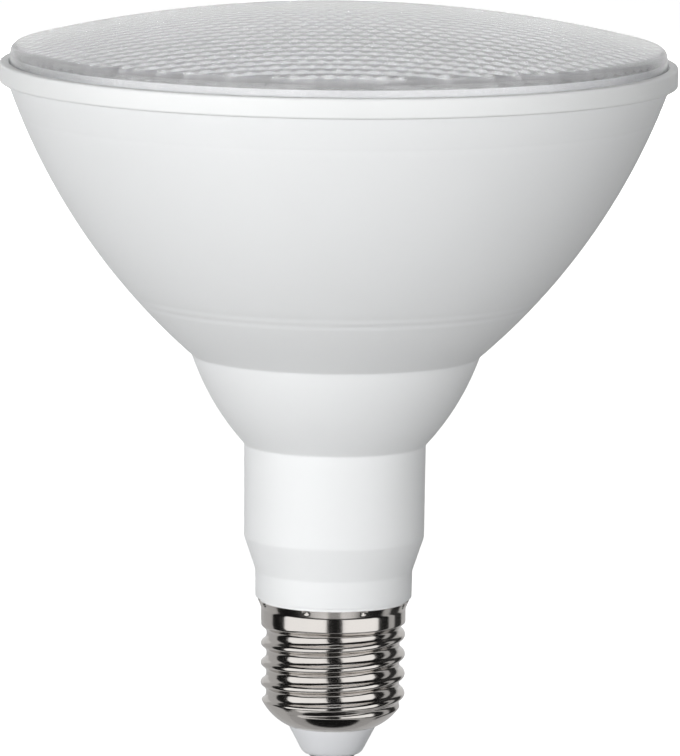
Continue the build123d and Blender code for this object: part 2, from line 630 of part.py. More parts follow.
def make_control_chip():
    """Small chip with a row of legs on each long side."""
    x, lift = CHIP_PLACE
    chip = face_block(CHIP_SIZE, x, NECK_Z + lift)
    middle_z = NECK_Z + lift + CHIP_SIZE[2] / 2
    for index in range(CHIP_LEG_COUNT):
        leg_x = x + (index - (CHIP_LEG_COUNT - 1) / 2) * CHIP_LEG_PITCH
        reach = CHIP_SIZE[2] / 2 + CHIP_LEG_REACH
        chip += block((leg_x - CHIP_LEG_WIDTH / 2, -BOARD_FACE - CHIP_LEG_HEIGHT, middle_z - reach),
                      (leg_x + CHIP_LEG_WIDTH / 2, -BOARD_FACE, middle_z + reach))
    return chip


def make_fusible_resistor():
    """Axial resistor on the tongue, with swollen ends."""
    x, lift = RESISTOR_PLACE
    low_z = NECK_Z + lift
    waist = RESISTOR_RADIUS - RESISTOR_WAIST
    quarter = RESISTOR_LENGTH / 4
    body = turned((0, low_z), (RESISTOR_RADIUS, low_z), (RESISTOR_RADIUS, low_z + quarter),
                  (waist, low_z + quarter + RESISTOR_WAIST), (waist, low_z + 3 * quarter - RESISTOR_WAIST),
                  (RESISTOR_RADIUS, low_z + 3 * quarter), (RESISTOR_RADIUS, low_z + RESISTOR_LENGTH),
                  (0, low_z + RESISTOR_LENGTH))
    return Pos(x, BOARD_FACE + RESISTOR_RADIUS, 0) * body


def make_varistor():
    """Round disc on the tongue."""
    x, lift = VARISTOR_PLACE
    disc = Cylinder(VARISTOR_RADIUS, VARISTOR_HEIGHT)
    disc = fillet(disc.edges().filter_by(GeomType.CIRCLE), PART_ROUND)
    middle_z = NECK_Z + lift + VARISTOR_RADIUS
    return Pos(x, BOARD_FACE + VARISTOR_HEIGHT / 2, middle_z) * Rot(90, 0, 0) * disc


# Wires

def bend_radii(points):
    """Largest bend radius that fits each corner of a wire's route."""
    radii = []
    for before, corner, after in zip(points, points[1:], points[2:]):
        run_in = Vector(*corner) - Vector(*before)
        run_out = Vector(*after) - Vector(*corner)
        half_turn = radians(run_in.get_angle(run_out)) / 2
        radii.append(WIRE_BEND_SHARE * min(run_in.length, run_out.length) / tan(half_turn))
    return radii


def make_wire(name, points):
    """Insulated wire along straight runs joined by tangent bends."""
    radii = bend_radii(points)
    path = FilletPolyline(*points, radius=radii)
    wire = sweep(Plane(origin=path @ 0, z_dir=path % 0) * Circle(WIRE_RADIUS), path=path)
    section = pi * WIRE_RADIUS ** 2
    print(name, "bend radii", [round(radius, 1) for radius in radii],
          "volume", round(wire.volume, 2), "section by length", round(section * path.length, 2))
    return wire


def make_live_wire():
    """From the tongue's -Y face straight down, then over to the contact's shank."""
    leave_z = TONGUE_Z - 2 * WIRE_RADIUS
    shank_top = CONTACT_HEIGHT + CONTACT_SHANK_LENGTH
    middle_z = (leave_z + shank_top) / 2
    return make_wire("live_wire", [(0, -WIRE_OFFSET, NECK_Z + LEAD_LAP), (0, -WIRE_OFFSET, leave_z),
                                   (0, 0, middle_z), (0, 0, shank_top)])


def make_neutral_wire():
    """From the board's -Y face down beside the tongue, then along the inside of the shell."""
    shell_x = sqrt((THREAD_ROOT_RADIUS - SHELL_WALL - WIRE_RADIUS - 2 * WIRE_GAP) ** 2 - WIRE_OFFSET ** 2)
    bore_x = shell_x - NEUTRAL_BORE_INSET
    step_z = SPIGOT_Z - NEUTRAL_STEP
    lead_x = TONGUE_WIDTH / 4
    return make_wire("neutral_wire", [(lead_x, -WIRE_OFFSET, NECK_Z + LEAD_LAP),
                                      (lead_x, -WIRE_OFFSET, NECK_Z - NEUTRAL_STEP),
                                      (bore_x, -WIRE_OFFSET, SPIGOT_Z + NEUTRAL_BORE_INSET),
                                      (shell_x, -WIRE_OFFSET, step_z),
                                      (shell_x, -WIRE_OFFSET, step_z - NEUTRAL_SHELL_RUN)])


def make_led_wires():
    """Two straight wires from the driver board up through the wire hole into the connector."""
    wires = []
    for side in (-1, 1):
        wires.append(rod(WIRE_RADIUS, BOARD_TOP_Z - LED_WIRE_LAP, LED_Z + LED_WIRE_PLUG,
                         side * LED_WIRE_SPREAD, WIRE_OFFSET))
    return Compound(children=wires)


PIECES = {
    "lens": make_lens(),
    "lens_seal": make_lens_seal(),
    "front_ring": make_front_ring(),
    "housing": make_housing(),
    "reflector": make_reflector(),
    "heat_sink": make_heat_sink(),
    "thermal_pad": make_disc(PAD_RADIUS, PAD_Z, LED_BOARD_Z),
    "led_board": make_disc(LED_BOARD_RADIUS, LED_BOARD_Z, LED_Z),
    "led_packages": make_led_packages(),
    "led_connector": make_led_connector(),
    "board_screws": make_board_screws(),
    "driver_sleeve": make_driver_sleeve(),
    "sleeve_lid": make_sleeve_lid(),
    "driver_board": make_driver_board(),
    "transformer_core": make_transformer_core(),
    "transformer_coil": make_transformer_coil(),
    "bulk_capacitor": make_can(BULK_CAPACITOR_RADIUS, BULK_CAPACITOR_LENGTH, BULK_CAPACITOR_PLACE),
    "output_capacitor": make_can(OUTPUT_CAPACITOR_RADIUS, OUTPUT_CAPACITOR_LENGTH, OUTPUT_CAPACITOR_PLACE),
    "drum_choke": make_drum_choke(),
    "film_capacitor": make_film_capacitor(),
    "bridge_rectifier": make_bridge_rectifier(),
    "control_chip": make_control_chip(),
    "fusible_resistor": make_fusible_resistor(),
    "varistor": make_varistor(),
    "live_wire": make_live_wire(),
    "neutral_wire": make_neutral_wire(),
    "led_wires": make_led_wires(),
    "cap_shell": make_cap_shell(),
    "cap_insulator": make_cap_insulator(),
    "centre_contact": make_centre_contact(),
}

os.makedirs("parts", exist_ok=True)
for name, piece in PIECES.items():
    export_step(piece, f"parts/{name}.step")
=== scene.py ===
import json
from math import atan2, cos, hypot, pi, radians, sin, sqrt

import bmesh
import bpy
from mathutils import Euler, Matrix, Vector


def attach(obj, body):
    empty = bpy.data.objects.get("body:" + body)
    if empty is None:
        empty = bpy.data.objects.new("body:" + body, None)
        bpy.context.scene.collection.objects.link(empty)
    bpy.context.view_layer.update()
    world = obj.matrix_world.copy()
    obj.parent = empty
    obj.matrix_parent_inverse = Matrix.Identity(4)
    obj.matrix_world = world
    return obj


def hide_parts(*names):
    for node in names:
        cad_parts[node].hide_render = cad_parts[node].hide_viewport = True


# Reflector lamp: smooth pieces, materials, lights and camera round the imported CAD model.
# Sizes are millimetres in the CAD's frame, and meshes are metres.

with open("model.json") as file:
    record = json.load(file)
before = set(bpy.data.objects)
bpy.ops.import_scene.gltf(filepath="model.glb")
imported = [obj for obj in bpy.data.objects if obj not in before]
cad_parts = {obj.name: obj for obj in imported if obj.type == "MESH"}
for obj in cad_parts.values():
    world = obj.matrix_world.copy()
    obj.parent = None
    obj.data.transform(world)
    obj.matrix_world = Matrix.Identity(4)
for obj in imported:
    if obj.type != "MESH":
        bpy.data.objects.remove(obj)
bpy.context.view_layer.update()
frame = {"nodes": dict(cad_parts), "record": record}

MM = 0.001

# Screw cap
CONTACT_FACE_RADIUS = 3.4
CONTACT_RADIUS = 4.2
CONTACT_HEIGHT = 0.85
CONTACT_SHANK_RADIUS = 1.5
CONTACT_SHANK_TOP = 8.05
INSULATOR_TIP_RADIUS = 5.3
INSULATOR_TIP_ROUND = 1.0
INSULATOR_EDGE_RADIUS = 8.1
INSULATOR_BORE = 1.55
INSULATOR_TOP = 14.0
INSULATOR_PLUG_RADIUS = 11.63
INSULATOR_FIT = 0.45
MOUTH_Z = 6.25
SHELL_WALL = 0.3
SHOULDER_CENTRE = (4.014, 15.261)
SHOULDER_ARC_RADIUS = 10.0
SHOULDER_TOP_Z = 11.6
THREAD_CREST_RADIUS = 13.12
THREAD_ROOT_RADIUS = 12.08
THREAD_CORE_RADIUS = 12.11
THREAD_PITCH = 3.629
THREAD_CREST_Z = 8.45
THREAD_CREST_ARC = 0.694
THREAD_ROOT_ARC = 1.409
THREAD_FLANK = 0.599
THREAD_RUN_OUT = 0.9
SHELL_COLLAR_Z = 25.3
SHELL_COLLAR_RADIUS = 13.15
FLARE_Z = 27.8
FLARE_WIDTH = 0.6
CAP_RIM_Z = 29.3
SHELL_ROWS = 120
SHELL_STEPS = 384
DENT_COUNT = 8
DENT_FIRST_ANGLE = 24.0
DENT_RADIUS = 0.65
DENT_DEPTH = 0.3
DENT_Z = 28.85
DENTED_RADIUS = 13.57

# Housing
SPIGOT_RADIUS = 12.775
SPIGOT_BORE = 11.0
SPIGOT_Z = 25.6
COLLAR_Z = 29.9
SHADOW_GAP_DEPTH = 0.35
SHADOW_GAP_ROOF = 0.12
COLLAR_BOTTOM_RADIUS = 14.2
COLLAR_TOP_RADIUS = 14.28
FOOT_Z = 34.8
FOOT_BORE = 12.3
FOOT_BORE_Z = 30.8
NECK_Z = 41.0
NECK_BOTTOM_RADIUS = 16.36
NECK_TOP_RADIUS = 16.48
NECK_BORE = 14.65
BOWL_Z = 58.0
BOWL_CENTRE = (-18.11, 89.45)
BOWL_ARC_RADIUS = 46.75
CONE_Z = 74.4
CONE_CENTRE = (-51.20, 162.85)
CONE_ARC_RADIUS = 117.5
CREASE_RADIUS = 26.15
RIM_Z = 124.9
HOUSING_WALL = 1.8
HOUSING_STEPS = 256
WITNESS_LINES = ((84.2, 0.07), (85.6, 0.05), (117.7, 0.04))
WITNESS_HALF_WIDTH = 0.3

# Ring and lens
RING_BOTTOM_Z = 123.7
RING_TOP_Z = 127.3
RING_RADIUS = 61.05
RING_BORE = 60.12
RING_LIP_RADIUS = 59.4
RING_LIP_Z = 126.45
RING_ROUND = 0.5
LENS_FLANGE_Z = 125.4
LENS_FLANGE_TOP = 126.4
LENS_FLANGE_RADIUS = 60.0
LENS_SKIRT_RADIUS = 59.1
LENS_SKIRT_BORE = 57.1
LENS_DOME_Z = 130.1
LENS_RIM_ROUND = 1.3
LENS_SPHERE = 242.24
LENS_SPHERE_Z = -104.82
LENS_WALL = 2.2
LENS_STEPS = 480
LENS_ROWS = 96
LENSLET_PITCH = 3.05
LENSLET_RADIUS = 1.5
LENSLET_HEIGHT = 0.24
LENSLET_EDGE = 57.0

# Lamp chips
LED_WINDOW_Z = 82.64

# Camera, fitted to the photograph
CAMERA_TARGET = (0.783, 0.0, 69.9)
CAMERA_DISTANCE = 1276.7
CAMERA_ELEVATION = 8.45
CAMERA_ROLL = 0.59
CAMERA_LENS = 335.9

# Stage
WORLD_FILL = (0.025, 0.025, 0.026, 1.0)
FLOOR_COLOUR = (0.25, 0.25, 0.25, 1.0)
FLOOR_GLOW = 0.93
LIGHT_AZIMUTHS = (-84, -52, -20, 12, 44)
LIGHT_ELEVATION = 5.5
LIGHT_DISTANCE = 1.3
LIGHT_AIM = (0, 0, 0.07)
LIGHT_SIZE = (0.746, 0.36)
LIGHT_POWER = 5.15
BACK_LIGHT_AZIMUTHS = (172, 188)
BACK_LIGHT_SIZE = (0.36, 0.36)
BACK_LIGHT_POWER = 7.5
TOP_LIGHT_SIZE = (0.9, 0.9)
TOP_LIGHT_POWER = 5.5
CARD_STEPS = 24
CARD_MIDDLE_Z = 0.02


# Outlines and meshes

def arc(centre, radius, start, end, steps):
    """Points between two heights on the arc's outer side."""
    heights = [start + (end - start) * step / steps for step in range(steps + 1)]
    return [(centre[0] + sqrt(radius ** 2 - (height - centre[1]) ** 2), height) for height in heights]


def outline(*spots):
    """Points of an outline whose spots are (radius, height), or (radius, height, rounding)."""
    points = []
    for before, spot, after in zip(spots[-1:] + spots[:-1], spots, spots[1:] + spots[:1]):
        place = Vector(spot[:2])
        if len(spot) == 2:
            points.append(place)
            continue
        start = place + (Vector(before[:2]) - place).normalized() * spot[2]
        end = place + (Vector(after[:2]) - place).normalized() * spot[2]
        for share in (0, 0.25, 0.5, 0.75, 1):
            points.append(start.lerp(place, share).lerp(place.lerp(end, share), share))
    return points


def turned(points, steps, closed=True):
    """Spin an outline in millimetres about the lamp's axis."""
    shape = bmesh.new()
    spots = [shape.verts.new((radius * MM, 0, height * MM)) for radius, height in points]
    pairs = list(zip(spots, spots[1:]))
    if closed:
        pairs.append((spots[-1], spots[0]))
    lines = [shape.edges.new(pair) for pair in pairs]
    bmesh.ops.spin(shape, geom=spots + lines, cent=(0, 0, 0), axis=(0, 0, 1), dvec=(0, 0, 0),
                   angle=2 * pi, steps=steps, use_merge=True, use_duplicate=False)
    bmesh.ops.remove_doubles(shape, verts=shape.verts, dist=0.0005 * MM)
    bmesh.ops.recalc_face_normals(shape, faces=shape.faces)
    return shape


def finished(shape, name, node, material, crease):
    """Turn a bmesh into a piece that stands for a CAD node."""
    mesh = bpy.data.meshes.new(name)
    shape.to_mesh(mesh)
    shape.free()
    mesh.shade_smooth()
    mesh.set_sharp_from_angle(angle=radians(crease))
    mesh.materials.append(material)
    piece = bpy.data.objects.new(name, mesh)
    bpy.context.scene.collection.objects.link(piece)
    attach(piece, "root")
    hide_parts(node)


# Shared node groups

def new_group(name, inputs, outputs):
    """Node group with float, colour or vector sockets; returns its tree and its two end nodes."""
    group = bpy.data.node_groups.new(name, "ShaderNodeTree")
    for side, sockets in (("INPUT", inputs), ("OUTPUT", outputs)):
        for label, kind in sockets:
            group.interface.new_socket(label, in_out=side, socket_type="NodeSocket" + kind)
    return group, group.nodes.new("NodeGroupInput"), group.nodes.new("NodeGroupOutput")


def make_grain():
    """Moulded or coated surface: slow colour drift, roughness drift and a fine height."""
    group, given, result = new_group(
        "moulded_grain",
        (("Light", "Color"), ("Dark", "Color"), ("Smooth", "Float"), ("Rough", "Float"), ("Scale", "Float")),
        (("Color", "Color"), ("Roughness", "Float"), ("Height", "Float")))
    nodes, links = group.nodes, group.links
    place = nodes.new("ShaderNodeTexCoord")
    drift = nodes.new("ShaderNodeTexNoise")
    drift.inputs["Scale"].default_value = 28.0
    drift.inputs["Detail"].default_value = 3.0
    links.new(place.outputs["Object"], drift.inputs["Vector"])
    fine = nodes.new("ShaderNodeTexNoise")
    fine.inputs["Detail"].default_value = 2.0
    links.new(place.outputs["Object"], fine.inputs["Vector"])
    links.new(given.outputs["Scale"], fine.inputs["Scale"])
    tint = nodes.new("ShaderNodeMix")
    tint.data_type = "RGBA"
    links.new(drift.outputs["Fac"], tint.inputs["Factor"])
    links.new(given.outputs["Dark"], tint.inputs["A"])
    links.new(given.outputs["Light"], tint.inputs["B"])
    gloss = nodes.new("ShaderNodeMapRange")
    links.new(fine.outputs["Fac"], gloss.inputs["Value"])
    links.new(given.outputs["Smooth"], gloss.inputs["To Min"])
    links.new(given.outputs["Rough"], gloss.inputs["To Max"])
    links.new(tint.outputs["Result"], result.inputs["Color"])
    links.new(gloss.outputs["Result"], result.inputs["Roughness"])
    links.new(fine.outputs["Fac"], result.inputs["Height"])
    return group


def make_rolling():
    """Rolled or turned metal: fine marks that run round the axis, with faint smudges."""
    group, given, result = new_group(
        "rolled_metal",
        (("Light", "Color"), ("Dark", "Color"), ("Smooth", "Float"), ("Rough", "Float"), ("Scale", "Float")),
        (("Color", "Color"), ("Roughness", "Float"), ("Height", "Float")))
    nodes, links = group.nodes, group.links
    place = nodes.new("ShaderNodeTexCoord")
    stretch = nodes.new("ShaderNodeMapping")
    stretch.inputs["Scale"].default_value = (1.0, 1.0, 14.0)
    links.new(place.outputs["Object"], stretch.inputs["Vector"])
    marks = nodes.new("ShaderNodeTexNoise")
    marks.inputs["Detail"].default_value = 4.0
    links.new(stretch.outputs["Vector"], marks.inputs["Vector"])
    links.new(given.outputs["Scale"], marks.inputs["Scale"])
    smudge = nodes.new("ShaderNodeTexNoise")
    smudge.inputs["Scale"].default_value = 160.0
    smudge.inputs["Detail"].default_value = 3.0
    links.new(place.outputs["Object"], smudge.inputs["Vector"])
    tint = nodes.new("ShaderNodeMix")
    tint.data_type = "RGBA"
    links.new(smudge.outputs["Fac"], tint.inputs["Factor"])
    links.new(given.outputs["Dark"], tint.inputs["A"])
    links.new(given.outputs["Light"], tint.inputs["B"])
    gloss = nodes.new("ShaderNodeMapRange")
    links.new(marks.outputs["Fac"], gloss.inputs["Value"])
    links.new(given.outputs["Smooth"], gloss.inputs["To Min"])
    links.new(given.outputs["Rough"], gloss.inputs["To Max"])
    links.new(tint.outputs["Result"], result.inputs["Color"])
    links.new(gloss.outputs["Result"], result.inputs["Roughness"])
    links.new(marks.outputs["Fac"], result.inputs["Height"])
    return group


GRAIN = make_grain()
ROLLING = make_rolling()


def surface(name, light, dark, smooth, rough, scale, bump, metallic=0.0, group=GRAIN):
    """Material whose colour, roughness and bump come from one of the shared groups."""
    material = bpy.data.materials.new(name)
    material.use_nodes = True
    nodes, links = material.node_tree.nodes, material.node_tree.links
    shader = nodes["Principled BSDF"]
    shader.inputs["Metallic"].default_value = metallic
    pattern = nodes.new("ShaderNodeGroup")
    pattern.node_tree = group
    pattern.inputs["Light"].default_value = (*light, 1.0)
    pattern.inputs["Dark"].default_value = (*dark, 1.0)
    pattern.inputs["Smooth"].default_value = smooth
    pattern.inputs["Rough"].default_value = rough
    pattern.inputs["Scale"].default_value = scale
    relief = nodes.new("ShaderNodeBump")
    relief.inputs["Strength"].default_value = bump
    relief.inputs["Distance"].default_value = 0.02 * MM
    links.new(pattern.outputs["Color"], shader.inputs["Base Color"])
    links.new(pattern.outputs["Roughness"], shader.inputs["Roughness"])
    links.new(pattern.outputs["Height"], relief.inputs["Height"])
    links.new(relief.outputs["Normal"], shader.inputs["Normal"])
    return material


def make_clear_plastic():
    """Clear moulding with a slight haze."""
    material = surface("clear_plastic", (0.97, 0.975, 0.98), (0.94, 0.945, 0.955), 0.15, 0.2, 900.0, 0.02)
    shader = material.node_tree.nodes["Principled BSDF"]
    shader.inputs["Transmission Weight"].default_value = 0.9
    shader.inputs["IOR"].default_value = 1.49
    return material


def make_led_finish():
    """White packages whose sunk windows are yellow phosphor."""
    material = surface("led_package_finish", (0.86, 0.86, 0.82), (0.78, 0.78, 0.74), 0.3, 0.45, 900.0, 0.1)
    nodes, links = material.node_tree.nodes, material.node_tree.links
    place = nodes.new("ShaderNodeTexCoord")
    split = nodes.new("ShaderNodeSeparateXYZ")
    links.new(place.outputs["Object"], split.inputs["Vector"])
    below = nodes.new("ShaderNodeMath")
    below.operation = "LESS_THAN"
    below.inputs[1].default_value = LED_WINDOW_Z * MM
    links.new(split.outputs["Z"], below.inputs[0])
    facing = nodes.new("ShaderNodeSeparateXYZ")
    links.new(place.outputs["Normal"], facing.inputs["Vector"])
    upward = nodes.new("ShaderNodeMath")
    upward.operation = "GREATER_THAN"
    upward.inputs[1].default_value = 0.5
    links.new(facing.outputs["Z"], upward.inputs[0])
    window = nodes.new("ShaderNodeMath")
    window.operation = "MULTIPLY"
    links.new(below.outputs["Value"], window.inputs[0])
    links.new(upward.outputs["Value"], window.inputs[1])
    paint = nodes.new("ShaderNodeMix")
    paint.data_type = "RGBA"
    paint.inputs["B"].default_value = (0.9, 0.62, 0.08, 1.0)
    shader = nodes["Principled BSDF"]
    pattern = shader.inputs["Base Color"].links[0].from_socket
    links.new(pattern, paint.inputs["A"])
    links.new(window.outputs["Value"], paint.inputs["Factor"])
    links.new(paint.outputs["Result"], shader.inputs["Base Color"])
    return material


HOUSING_WHITE = surface("housing_white", (0.80, 0.81, 0.815), (0.775, 0.785, 0.79), 0.42, 0.5, 2600.0, 0.12)
HOUSING_WHITE.node_tree.nodes["Principled BSDF"].inputs["Specular IOR Level"].default_value = 0.3
RING_WHITE = surface("ring_white", (0.775, 0.785, 0.785), (0.755, 0.765, 0.765), 0.36, 0.44, 2600.0, 0.08)
NICKEL = surface("nickel_plating", (0.66, 0.63, 0.60), (0.60, 0.575, 0.55), 0.11, 0.17, 120.0, 0.05, 1.0,
                 ROLLING)
INSULATOR_WHITE = surface("insulator_finish", (0.74, 0.75, 0.77), (0.71, 0.72, 0.74), 0.28, 0.4, 1800.0,
                          0.08)
CONTACT_METAL = surface("contact_plating", (0.56, 0.54, 0.52), (0.48, 0.46, 0.44), 0.2, 0.34, 200.0, 0.2, 1.0,
                        ROLLING)
CLEAR_PLASTIC = make_clear_plastic()

INNER_FINISHES = {
    "silicone": surface("silicone_finish", (0.80, 0.80, 0.77), (0.72, 0.72, 0.69), 0.5, 0.65, 1500.0, 0.2),
    "metallised": surface("metallised_finish", (0.90, 0.90, 0.91), (0.85, 0.85, 0.86), 0.08, 0.16, 150.0,
                          0.03, 1.0, ROLLING),
    "pressed_aluminium": surface("pressed_aluminium_finish", (0.72, 0.73, 0.74), (0.6, 0.61, 0.62), 0.3,
                                 0.45, 90.0, 0.3, 1.0, ROLLING),
    "pad_rubber": surface("gap_pad_finish", (0.5, 0.52, 0.55), (0.42, 0.44, 0.47), 0.6, 0.8, 1200.0, 0.3),
    "white_board": surface("solder_mask_white", (0.86, 0.86, 0.84), (0.8, 0.8, 0.78), 0.25, 0.35, 700.0, 0.1),
    "led_package": make_led_finish(),
    "connector_plastic": surface("connector_nylon", (0.82, 0.81, 0.76), (0.75, 0.74, 0.69), 0.4, 0.55,
                                 900.0, 0.2),
    "screw_steel": surface("zinc_plated_steel", (0.66, 0.66, 0.64), (0.5, 0.5, 0.49), 0.25, 0.4, 300.0,
                           0.3, 1.0, ROLLING),
    "sleeve_plastic": surface("sleeve_moulding", (0.80, 0.80, 0.77), (0.74, 0.74, 0.71), 0.45, 0.6,
                              1400.0, 0.2),
    "green_board": surface("solder_mask_green", (0.05, 0.26, 0.1), (0.03, 0.18, 0.07), 0.25, 0.4, 500.0, 0.2),
    "ferrite": surface("sintered_ferrite", (0.07, 0.07, 0.075), (0.04, 0.04, 0.045), 0.5, 0.7, 2000.0, 0.5),
    "winding_tape": surface("winding_tape_finish", (0.85, 0.55, 0.07), (0.7, 0.42, 0.04), 0.3, 0.45,
                            300.0, 0.3, 0.0, ROLLING),
    "capacitor_can": surface("can_sleeve", (0.05, 0.06, 0.09), (0.03, 0.035, 0.06), 0.25, 0.4, 400.0, 0.15),
    "film_case": surface("dipped_red", (0.6, 0.07, 0.03), (0.45, 0.04, 0.02), 0.25, 0.4, 500.0, 0.3),
    "black_epoxy": surface("moulded_epoxy", (0.035, 0.035, 0.04), (0.02, 0.02, 0.022), 0.5, 0.7,
                           2200.0, 0.4),
    "resistor_coat": surface("resistor_enamel", (0.2, 0.4, 0.34), (0.14, 0.3, 0.26), 0.35, 0.5, 900.0, 0.3),
    "varistor_coat": surface("dipped_blue", (0.04, 0.13, 0.4), (0.025, 0.08, 0.28), 0.3, 0.45, 700.0, 0.3),
    "red_insulation": surface("red_pvc", (0.6, 0.03, 0.025), (0.48, 0.02, 0.015), 0.4, 0.55, 900.0, 0.2),
    "black_insulation": surface("black_pvc", (0.03, 0.03, 0.03), (0.018, 0.018, 0.018), 0.4, 0.55, 900.0,
                                0.2),
    "white_insulation": surface("white_pvc", (0.82, 0.82, 0.79), (0.75, 0.75, 0.72), 0.4, 0.55, 900.0, 0.2),
}


# Pieces of the outside

def cone_spot(height, depth=0.0):
    """Point on the cone's outside, sunk by a depth."""
    radius = CONE_ARC_RADIUS - depth
    return CONE_CENTRE[0] + sqrt(radius ** 2 - (height - CONE_CENTRE[1]) ** 2), height


def make_outer_body():
    """Housing with softened edges, a shadow gap above the shell and the faint witness lines of its mould."""
    heights = [CONE_Z + (RIM_Z - CONE_Z) * step / 40 for step in range(1, 41)]
    marks = []
    for height, depth in WITNESS_LINES:
        marks.append((height - WITNESS_HALF_WIDTH, 0.0))
        marks.append((height, depth))
        marks.append((height + WITNESS_HALF_WIDTH, 0.0))
    clear = [height for height in heights
             if all(abs(height - line) > 2 * WITNESS_HALF_WIDTH for line, depth in WITNESS_LINES)]
    cone = [cone_spot(height, depth) for height, depth in sorted(marks + [(height, 0.0) for height in clear])]
    bowl = arc(BOWL_CENTRE, BOWL_ARC_RADIUS, BOWL_Z, CONE_Z, 16)
    bowl_inside = arc(BOWL_CENTRE, BOWL_ARC_RADIUS - HOUSING_WALL, CONE_Z, BOWL_Z + HOUSING_WALL, 12)
    cone_inside = arc(CONE_CENTRE, CONE_ARC_RADIUS - HOUSING_WALL, RIM_Z, CONE_Z, 30)
    gap_radius = SHELL_COLLAR_RADIUS + FLARE_WIDTH - SHADOW_GAP_DEPTH
    points = outline(
        (SPIGOT_RADIUS, SPIGOT_Z), (SPIGOT_RADIUS, FLARE_Z), (SPIGOT_RADIUS + FLARE_WIDTH, CAP_RIM_Z),
        (gap_radius, CAP_RIM_Z), (gap_radius, COLLAR_Z - SHADOW_GAP_ROOF),
        (COLLAR_BOTTOM_RADIUS, COLLAR_Z, 0.1), (COLLAR_TOP_RADIUS, FOOT_Z, 0.3),
        (NECK_BOTTOM_RADIUS, NECK_Z, 0.35), (NECK_TOP_RADIUS, BOWL_Z, 0.3), *bowl[1:-1],
        (CREASE_RADIUS, CONE_Z, 0.35), *cone, *cone_inside, *bowl_inside,
        (NECK_BORE, BOWL_Z + HOUSING_WALL), (NECK_BORE, NECK_Z), (FOOT_BORE, NECK_Z),
        (FOOT_BORE, FOOT_BORE_Z), (SPIGOT_BORE, FOOT_BORE_Z), (SPIGOT_BORE, SPIGOT_Z))
    finished(turned(points, HOUSING_STEPS), "outer_body", "housing", HOUSING_WHITE, 40)


def make_retaining_ring():
    """Ring with rounded outer edges and a lip over the lens flange."""
    points = outline((RING_BORE, RING_BOTTOM_Z), (RING_RADIUS, RING_BOTTOM_Z, RING_ROUND),
                     (RING_RADIUS, RING_TOP_Z, RING_ROUND), (RING_LIP_RADIUS, RING_TOP_Z, 0.15),
                     (RING_LIP_RADIUS, RING_LIP_Z), (RING_BORE, RING_LIP_Z))
    finished(turned(points, HOUSING_STEPS), "retaining_ring", "front_ring", RING_WHITE, 40)


def lenslet_drop(x, y):
    """How far the inner face bulges down at a place, on a lattice of rows offset by half a pitch."""
    rows = LENSLET_PITCH * sqrt(3) / 2
    row = round(y / rows)
    nearest = LENSLET_PITCH
    for line in (row - 1, row, row + 1):
        shift = 0.5 * LENSLET_PITCH * (line % 2)
        column = round((x - shift) / LENSLET_PITCH)
        nearest = min(nearest, hypot(x - shift - column * LENSLET_PITCH, y - line * rows))
    return LENSLET_HEIGHT * max(0.0, 1 - (nearest / LENSLET_RADIUS) ** 2)


def make_lens_cover():
    """Clear cover: smooth dome and skirt outside, round lenslets all over its inner face."""
    def dome(sphere, start, end, steps):
        spots = [start + (end - start) * step / steps for step in range(steps + 1)]
        return [(spot, LENS_SPHERE_Z + sqrt(sphere ** 2 - spot ** 2)) for spot in spots]

    rim = (LENS_SKIRT_RADIUS, LENS_DOME_Z, LENS_RIM_ROUND)
    outside = dome(LENS_SPHERE, 0, LENS_SKIRT_RADIUS, 24)[:-1]
    inside = dome(LENS_SPHERE - LENS_WALL, LENS_SKIRT_BORE, 0, LENS_ROWS)
    points = outline(*outside, rim, (LENS_SKIRT_RADIUS, LENS_FLANGE_TOP),
                     (LENS_FLANGE_RADIUS, LENS_FLANGE_TOP), (LENS_FLANGE_RADIUS, LENS_FLANGE_Z),
                     (LENS_SKIRT_BORE, LENS_FLANGE_Z), *inside)
    shape = turned(points, LENS_STEPS, closed=False)
    inner_sphere = LENS_SPHERE - 0.5 * LENS_WALL
    for vert in shape.verts:
        x, y, z = vert.co / MM
        if hypot(x, y) < LENSLET_EDGE and hypot(x, y, z - LENS_SPHERE_Z) < inner_sphere:
            vert.co.z -= lenslet_drop(x, y) * MM
    finished(shape, "lens_cover", "lens", CLEAR_PLASTIC, 50)


def shell_radius(angle, height):
    """Outside of the screw shell: thread inside the shoulder's envelope, plain collar and flared rim."""
    core = THREAD_CORE_RADIUS
    if height > SHELL_COLLAR_Z - THREAD_RUN_OUT:
        climb = min(1.0, (height - SHELL_COLLAR_Z + THREAD_RUN_OUT) / THREAD_RUN_OUT)
        core += (SHELL_COLLAR_RADIUS - THREAD_CORE_RADIUS) * climb
    if height > FLARE_Z:
        core += FLARE_WIDTH * (height - FLARE_Z) / (CAP_RIM_Z - FLARE_Z)
    turns = (height - THREAD_CREST_Z) / THREAD_PITCH - angle / (2 * pi)
    offset = abs(turns - round(turns)) * THREAD_PITCH
    if offset < THREAD_FLANK:
        ridge = THREAD_CREST_RADIUS - THREAD_CREST_ARC + sqrt(THREAD_CREST_ARC ** 2 - offset ** 2)
    else:
        from_root = THREAD_PITCH / 2 - offset
        ridge = THREAD_ROOT_RADIUS + THREAD_ROOT_ARC - sqrt(THREAD_ROOT_ARC ** 2 - from_root ** 2)
    radius = max(core, ridge)
    if height < SHOULDER_TOP_Z:
        envelope = SHOULDER_CENTRE[0] + sqrt(SHOULDER_ARC_RADIUS ** 2 - (height - SHOULDER_CENTRE[1]) ** 2)
        radius = min(radius, envelope)
    for index in range(DENT_COUNT):
        turn = angle - radians(DENT_FIRST_ANGLE + 360 / DENT_COUNT * index)
        reach = DENTED_RADIUS + DENT_RADIUS - DENT_DEPTH
        room = DENT_RADIUS ** 2 - (height - DENT_Z) ** 2 - (reach * sin(turn)) ** 2
        if room > 0 and cos(turn) > 0:
            radius = min(radius, reach * cos(turn) - sqrt(room))
    return radius


